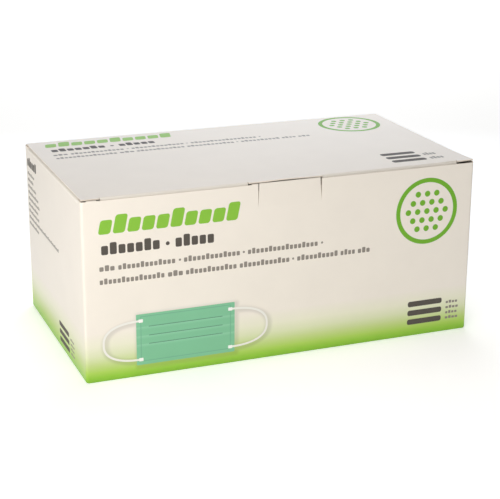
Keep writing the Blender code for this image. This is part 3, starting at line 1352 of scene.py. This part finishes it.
@dataclass
class PanelPrint:
    """The print that the front and the lid share: plain blocks for words, and a ring of dots.

    Attributes:
        panel: The panel's name.
        skin: Its outside.
        body: Its body.
        shift: How far the layout moves up the panel.
    """

    panel: str
    skin: Placing
    body: str
    shift: float = 0.0

    def build(self) -> None:
        """Prints the panel."""
        up = self.shift
        title = Artwork(f"{self.panel}_title_blocks", GREEN_INK, "green_ink")
        title.words([(-83.2 * MM, -22.8 * MM)], 64.8 * MM + up, 6.0 * MM, 6.1 * MM, 1.0 * MM, 0.21)
        title.lay(self.skin, self.body)

        bold = Artwork(f"{self.panel}_bold_blocks", DARK_INK, "grey_ink")
        bold.words(
            [(-82 * MM, -57.1 * MM), (-50.2 * MM, -33.3 * MM)], 56.0 * MM + up, 3.9 * MM, 3.55 * MM, 0.75 * MM
        )
        bold.dot(-53.6 * MM, 58 * MM + up, 0.85 * MM)
        bold.lay(self.skin, self.body)

        fine = Artwork(f"{self.panel}_fine_blocks", LIGHT_INK, "grey_ink")
        upper = [(-83, -76.6), (-75, -50.5), (-46.6, -21.7), (-18, 14.3)]
        lower = [(-83, -55.3), (-53.7, -47.2), (-45.8, -23.2), (-21.7, 1.1)]
        lower += [(4.8, 23.9), (25.4, 32.2), (33.7, 39.4)]
        for spans, foot in ((upper, 49.0), (lower, 43.3)):
            spans = [(start * MM, end * MM) for start, end in spans]
            fine.words(spans, foot * MM + up, 1.9 * MM, 1.9 * MM, 0.5 * MM)
        for u, v in ((-48.4, 50.2), (-19.9, 50.2), (16.4, 50.2), (2.9, 44.5)):
            fine.dot(u * MM, v * MM + up, 0.5 * MM)
        fine.lay(self.skin, self.body)

        emblem = Artwork(f"{self.panel}_emblem_ring", EMBLEM_INK, "green_ink")
        centre = (67.1 * MM, 59.0 * MM + up)
        emblem.ring(*centre, 15.2 * MM, 2.0 * MM)
        pitch = 4.6 * MM
        for row in range(-2, 3):
            for column in range(5 - abs(row)):
                u = centre[0] + (column - (4 - abs(row)) / 2) * pitch
                emblem.dot(u, centre[1] + row * pitch * math.sin(math.radians(60)), 1.35 * MM)
        emblem.lay(self.skin, self.body)


@dataclass
class CountPrint:
    """The stack of three bars and the small lines beside it.

    Attributes:
        panel: The panel's name.
        skin: Its outside.
        body: Its body.
        place: Lower left corner of the stack.
        size: Width and height of the stack.
        lines: Number of small lines.
        pitch: From one bar to the next, as a share of the stack's height.
        bar: Height of a bar, as such a share.
        rounding: Radius of a bar's corners, as such a share.
        aside: Distance from the stack to the small lines.
    """

    panel: str
    skin: Placing
    body: str
    place: tuple[float, float]
    size: tuple[float, float]
    lines: int = 4
    pitch: float = 0.385
    bar: float = 0.23
    rounding: float = 0.08
    aside: float = 2.2 * MM

    def build(self) -> None:
        """Prints the stack."""
        (left, foot), (width, height) = self.place, self.size
        stack = Artwork(f"{self.panel}_stack_bars", DARK_INK, "grey_ink")
        for index in range(3):
            level = foot + index * height * self.pitch
            stack.block(left, level, width, height * self.bar, height * self.rounding)
        stack.lay(self.skin, self.body)
        small = Artwork(f"{self.panel}_small_lines", LIGHT_INK, "grey_ink")
        for index in range(self.lines):
            start = left + width + self.aside
            end = start + (6.4 - 0.5 * (index % 2)) * MM
            step = height * 0.9 / self.lines
            small.words([(start, end)], foot + 0.5 * MM + index * step, step * 0.42, 1.6 * MM, 0.4 * MM)
        small.lay(self.skin, self.body)


@dataclass
class MaskPicture:
    """A plain picture of a flat pleated mask with two ear loops and its soft shadow.

    Attributes:
        blank: The carton's sizes.
        left: The cloth's left edge.
        right: Its right edge.
        foot: Its lower edge.
        head: Its upper edge.
        pleats: Heights of the pleats' lines.
        thread: Width of a line of stitches or of a pleat.
        loop_low: Height of the loops' lower ends.
        loop_high: Height of their upper ends.
        loop_start: How far inside the cloth's edge a loop starts.
        loop_reaches: How far the left and the right loop reach from where they start.
        squareness: Power of the loops' outline, where 2 is an ellipse.
        ribbon: The loops' width.
        shadow_shift: How far the shadow is moved.
        shadow_spread: How far it fades out.
        shadow_cell: Size of a cell of its film.
        shadow_left: Left edge of its film.
        shadow_right: Its right edge.
        shadow_foot: Its lower edge.
        shadow_head: Its upper edge.
        seam_inset: How far the stitches lie inside the left, right, lower and upper edge.
        pleat_inset: How far a pleat ends inside the cloth's edges.
        loop_end: Width and height of the bright end of a loop.
    """

    blank: Blank
    left: float = -68 * MM
    right: float = -24 * MM
    foot: float = PICTURE_FOOT
    head: float = PICTURE_HEAD
    pleats: tuple[float, ...] = PLEATS
    thread: float = 0.3 * MM
    loop_low: float = 7.7 * MM
    loop_high: float = 25.2 * MM
    loop_start: float = 2.0 * MM
    loop_reaches: tuple[float, float] = (16.2 * MM, 16.9 * MM)
    squareness: float = 2.44
    ribbon: float = 0.9 * MM
    shadow_shift: tuple[float, float] = (0.7 * MM, -0.6 * MM)
    shadow_spread: float = 2.2 * MM
    shadow_cell: float = 0.8 * MM
    shadow_left: float = -87.2 * MM
    shadow_right: float = -4.8 * MM
    shadow_foot: float = 1.6 * MM
    shadow_head: float = 32 * MM
    seam_inset: tuple[float, float, float, float] = (1.9 * MM, 2.1 * MM, 1.5 * MM, 1.3 * MM)
    pleat_inset: float = 5.5 * MM
    loop_end: tuple[float, float] = (1.9 * MM, 1.5 * MM)

    def ovals(self) -> list[tuple[int, float, float]]:
        """Lists the loops, each with its side, where it starts and how far it reaches."""
        starts = (self.left + self.loop_start, self.right - self.loop_start)
        return list(zip((-1, 1), starts, self.loop_reaches))

    def depth_in_shadow(self, u: float, v: float) -> float:
        """Gives how deep a place lies in the printed shadow, from 0 to 1."""
        u, v = u - self.shadow_shift[0], v - self.shadow_shift[1]
        aside = max(self.left - u, u - self.right, 0.0)
        above = max(self.foot - v, v - self.head, 0.0)
        away = [math.hypot(aside, above)]
        middle, half = (self.loop_low + self.loop_high) / 2, (self.loop_high - self.loop_low) / 2
        for _side, start, reach in self.ovals():
            x, y = abs(u - start) / reach, abs(v - middle) / half
            size = max(0.05, (x**self.squareness + y**self.squareness) ** (1 / self.squareness))
            off = abs(size - 1) / size * math.hypot(u - start, v - middle)
            away.append(max(0.0, off - self.ribbon / 2))
        return max(0.0, 1 - min(away) / self.shadow_spread)

    def shadow(self) -> None:
        """Prints the soft shadow of the cloth and the loops, as board that darkens by its own attribute."""
        art = Artwork("mask_picture_shadow", SHADOW_BOARD, "printed_board", SHADOW_PROUD)
        sheet = art.shapes
        shade = sheet.verts.layers.float.new(SHADE_LAYER)
        cell = self.shadow_cell
        low, high = self.shadow_left, self.shadow_right
        foot, head = self.shadow_foot, self.shadow_head
        size = Matrix.Diagonal((high - low, head - foot, 1, 1))
        bmesh.ops.create_grid(
            sheet,
            x_segments=round((high - low) / cell),
            y_segments=round((head - foot) / cell),
            size=0.5,
            matrix=Matrix.Translation(((low + high) / 2, (foot + head) / 2, 0)) @ size,
        )
        for vert in sheet.verts:
            vert[shade] = self.depth_in_shadow(vert.co.x, vert.co.y)
        art.lay(self.blank.front_skin, "carton")

    def loop(self, art: Artwork, side: int, start: float, reach: float) -> None:
        """Draws an ear loop, as half of a full oval ring with its ends on the cloth.

        Args:
            art: The artwork to draw it in.
            side: -1 for the left loop, 1 for the right one.
            start: Where it starts on the cloth.
            reach: How far it reaches from there.
        """
        middle, half = (self.loop_low + self.loop_high) / 2, (self.loop_high - self.loop_low) / 2
        power = 2 / self.squareness
        rims: list[bmesh.types.BMEdge] = []
        for out in (self.ribbon / 2, -self.ribbon / 2):
            made = bmesh.ops.create_circle(art.shapes, segments=96, radius=1.0)["verts"]
            rims += {edge for vert in made for edge in vert.link_edges}
            for vert in made:
                x = math.copysign(abs(vert.co.x) ** power, vert.co.x) * (reach + out)
                y = math.copysign(abs(vert.co.y) ** power, vert.co.y) * (half + out)
                vert.co = (start + x, middle + y, 0)
        faces = bmesh.ops.bridge_loops(art.shapes, edges=rims)["faces"]
        near = [item for face in faces for item in (face, *face.edges, *face.verts)]
        bmesh.ops.bisect_plane(
            art.shapes,
            geom=list(dict.fromkeys(near)),
            dist=CUT_SLACK,
            plane_co=(start, 0, 0),
            plane_no=(-side, 0, 0),
            clear_outer=True,
        )

    def stitches(self) -> None:
        """Prints the lines of stitches round the cloth."""
        seams = Artwork("mask_picture_seams", SEAM_INK, "cloth_green_ink", THREAD_PROUD)
        from_left, from_right, from_foot, from_head = self.seam_inset
        low, high = self.foot + from_foot, self.head - from_head
        left, right = self.left + from_left, self.right - from_right
        for v in (low, high):
            seams.block(left, v, right - left + self.thread, self.thread)
        for u in (left, right):
            seams.block(u, low + self.thread, self.thread, high - low - self.thread)
        seams.lay(self.blank.front_skin, "carton")

    def build(self) -> None:
        """Prints the picture."""
        skin = self.blank.front_skin
        width, height = self.right - self.left, self.head - self.foot
        self.shadow()
        cloth = Artwork("mask_picture_cloth", CLOTH_INK, "cloth_green_ink", CLOTH_PROUD)
        cloth.block(self.left, self.foot, width, height, 0.4 * MM)
        cloth.lay(skin, "carton")
        self.stitches()
        pleats = Artwork("mask_picture_pleats", PLEAT_INK, "cloth_green_ink", THREAD_PROUD)
        for v in self.pleats:
            left, foot = self.left + self.pleat_inset, v - self.thread / 2
            pleats.block(left, foot, width - 2 * self.pleat_inset, self.thread, 0.1 * MM)
        pleats.lay(skin, "carton")
        loops = Artwork("mask_picture_loops", RIBBON_INK, "white_ink", LOOP_PROUD)
        ends = Artwork("mask_picture_loop_ends", LOOP_END_INK, "white_ink", LOOP_END_PROUD)
        end_width, end_height = self.loop_end
        for side, start, reach in self.ovals():
            self.loop(loops, side, start, reach)
            for v in (self.loop_low, self.loop_high):
                foot = v - end_height / 2
                ends.block(start - end_width / 2, foot, end_width, end_height, 0.3 * MM)
        loops.lay(skin, "carton")
        ends.lay(skin, "carton")


@dataclass
class EndPrint:
    """The print on the left end: a bold word and lines of fine ones, as plain blocks."""

    blank: Blank

    def build(self) -> None:
        """Prints the end."""
        skin = self.blank.left_skin
        bold = Artwork("left_bold_blocks", DARK_INK, "grey_ink")
        bold.words([(-46 * MM, -28.5 * MM)], 70.6 * MM, 3.3 * MM, 2.8 * MM, 0.6 * MM)
        bold.lay(skin, "carton")
        fine = Artwork("left_fine_blocks", LIGHT_INK, "grey_ink")
        ends = (-33, -35, -30, -26, -24, -27, -25.5, 10.5, -27)
        for index, end in enumerate(ends):
            foot = (66.5 - 3.0 * index) * MM
            fine.words([(-46 * MM, end * MM)], foot, 1.2 * MM, 1.5 * MM, 0.4 * MM)
        fine.lay(skin, "carton")


# Stage


@dataclass(frozen=True)
class Softbox:
    """A soft light.

    Attributes:
        name: Its name.
        place: Where it hangs.
        width: Its width.
        height: Its height.
        watts: Its power.
        colour: sRGB hex of its light.
        aim: The place that it faces.
    """

    name: str
    place: tuple[float, float, float]
    width: float
    height: float
    watts: float
    colour: str
    aim: tuple[float, float, float] = (0.0, 0.0, 0.04)

    def build(self) -> None:
        """Hangs the light."""
        lamp = bpy.data.lights.new(self.name, "AREA")
        lamp.shape = "RECTANGLE"
        lamp.size = self.width
        lamp.size_y = self.height
        lamp.energy = self.watts
        lamp.color = linear(self.colour)[:3]
        holder = bpy.data.objects.new(self.name, lamp)
        place = Vector(self.place)
        turn = (Vector(self.aim) - place).to_track_quat("-Z", "Y")
        holder.matrix_world = Matrix.Translation(place) @ turn.to_matrix().to_4x4()
        bpy.context.scene.collection.objects.link(holder)


@dataclass
class Studio:
    """A plain pale floor, large soft lights and the camera of the photograph.

    Attributes:
        eye: The camera's place.
        azimuth: The way that it looks, from +Y towards +X.
        elevation: How far it looks down.
        roll: How far its right side is turned up.
        focal: Its focal length in pixels of a picture as wide as picture_width.
        picture_width: Width of the picture in pixels.
        room: Strength of the even light of the room.
        glow: Strength of the floor's own light, as on a light table.
        lights: The soft lights.
    """

    eye: tuple[float, float, float] = (-0.22101, -0.57072, 0.23841)
    azimuth: float = math.radians(21.4)
    elevation: float = math.radians(18.54)
    roll: float = math.radians(0.25)
    focal: float = 1389.8
    picture_width: float = 500.0
    room: float = 0.14
    glow: float = 0.45
    lights: tuple[Softbox, ...] = (
        Softbox("key_softbox", (-0.33, -0.42, 0.3), 0.35, 0.35, 1.45, "FFFBF7"),
        Softbox("near_softbox", (-0.29, -0.2, 0.17), 0.15, 0.15, 0.17, "FFF8EE"),
        Softbox("top_softbox", (0.07, 0.13, 0.36), 0.2, 0.2, 0.4, "FFFFFF"),
        Softbox("back_softbox", (0.1, 0.3, 0.155), 0.4, 0.1, 0.17, "DCEAFF"),
        Softbox("far_softbox", (0.4, 0.95, 0.5), 1.1, 1.1, 4.0, "FFFFFF", (0.4, 0.95, 0.0)),
    )

    def floor(self) -> None:
        """Lays the floor."""
        plane = bmesh.new()
        bmesh.ops.create_grid(plane, x_segments=1, y_segments=1, size=12.0)
        # White studio paper: quite dull
        paper = Finish("matt_studio_paper", "FAFAF9", 0.9, 2 * MM, 0.01 * MM, 0.002)
        floor = finished(plane, "floor", [paper])
        shader = floor.data.materials[0].node_tree.nodes["Principled BSDF"]
        shader.inputs["Emission Color"].default_value = linear("FFFFFF")
        shader.inputs["Emission Strength"].default_value = self.glow

    def sky(self) -> None:
        """Fills the room with even light."""
        world = bpy.data.worlds.new("studio_room")
        world.use_nodes = True
        backdrop = world.node_tree.nodes["Background"]
        backdrop.inputs["Color"].default_value = linear("FFFFFF")
        backdrop.inputs["Strength"].default_value = self.room
        bpy.context.scene.world = world

    def camera(self) -> None:
        """Sets up the camera."""
        lens = bpy.data.cameras.new("camera")
        lens.sensor_fit = "HORIZONTAL"
        lens.sensor_width = 36.0
        lens.lens = 36.0 * self.focal / self.picture_width
        lens.clip_start = 0.01
        holder = bpy.data.objects.new("camera", lens)
        turn = (
            Matrix.Rotation(-self.azimuth, 4, "Z")
            @ Matrix.Rotation(RIGHT_ANGLE - self.elevation, 4, "X")
            @ Matrix.Rotation(self.roll, 4, "Z")
        )
        holder.matrix_world = Matrix.Translation(self.eye) @ turn
        bpy.context.scene.collection.objects.link(holder)
        bpy.context.scene.camera = holder

    def build(self) -> None:
        """Sets the stage."""
        self.floor()
        for softbox in self.lights:
            softbox.build()
        self.sky()
        self.camera()
        bpy.context.scene.view_settings.view_transform = "Standard"


def main() -> None:
    """Builds the carton, its print and the stage."""
    logging.basicConfig(level=logging.INFO, format="%(message)s")
    blank = Blank()
    Walls(blank).build()
    lid = Lid(blank)
    lid.build()
    lid.build_tuck_flap()
    flaps = EndFlaps(blank)
    for side, name in ((-1, "left"), (1, "right")):
        flaps.build(side, name)
        flaps.build_lower(side, name)
    Bottom(blank).build()
    LockTab(blank).build()
    PanelPrint("front", blank.front_skin, "carton").build()
    PanelPrint("lid", blank.lid_skin, "lid", -27 * MM).build()
    CountPrint("front", blank.front_skin, "carton", (59.6 * MM, 5.6 * MM), (17.3 * MM, 11.2 * MM)).build()
    CountPrint("lid", blank.lid_skin, "lid", (54.6 * MM, -41.4 * MM), (16.8 * MM, 15.2 * MM), 2).build()
    CountPrint("left", blank.left_skin, "carton", (6 * MM, 3.4 * MM), (17 * MM, 9.6 * MM)).build()
    MaskPicture(blank).build()
    EndPrint(blank).build()
    Studio().build()


if __name__ == "__main__":
    main()
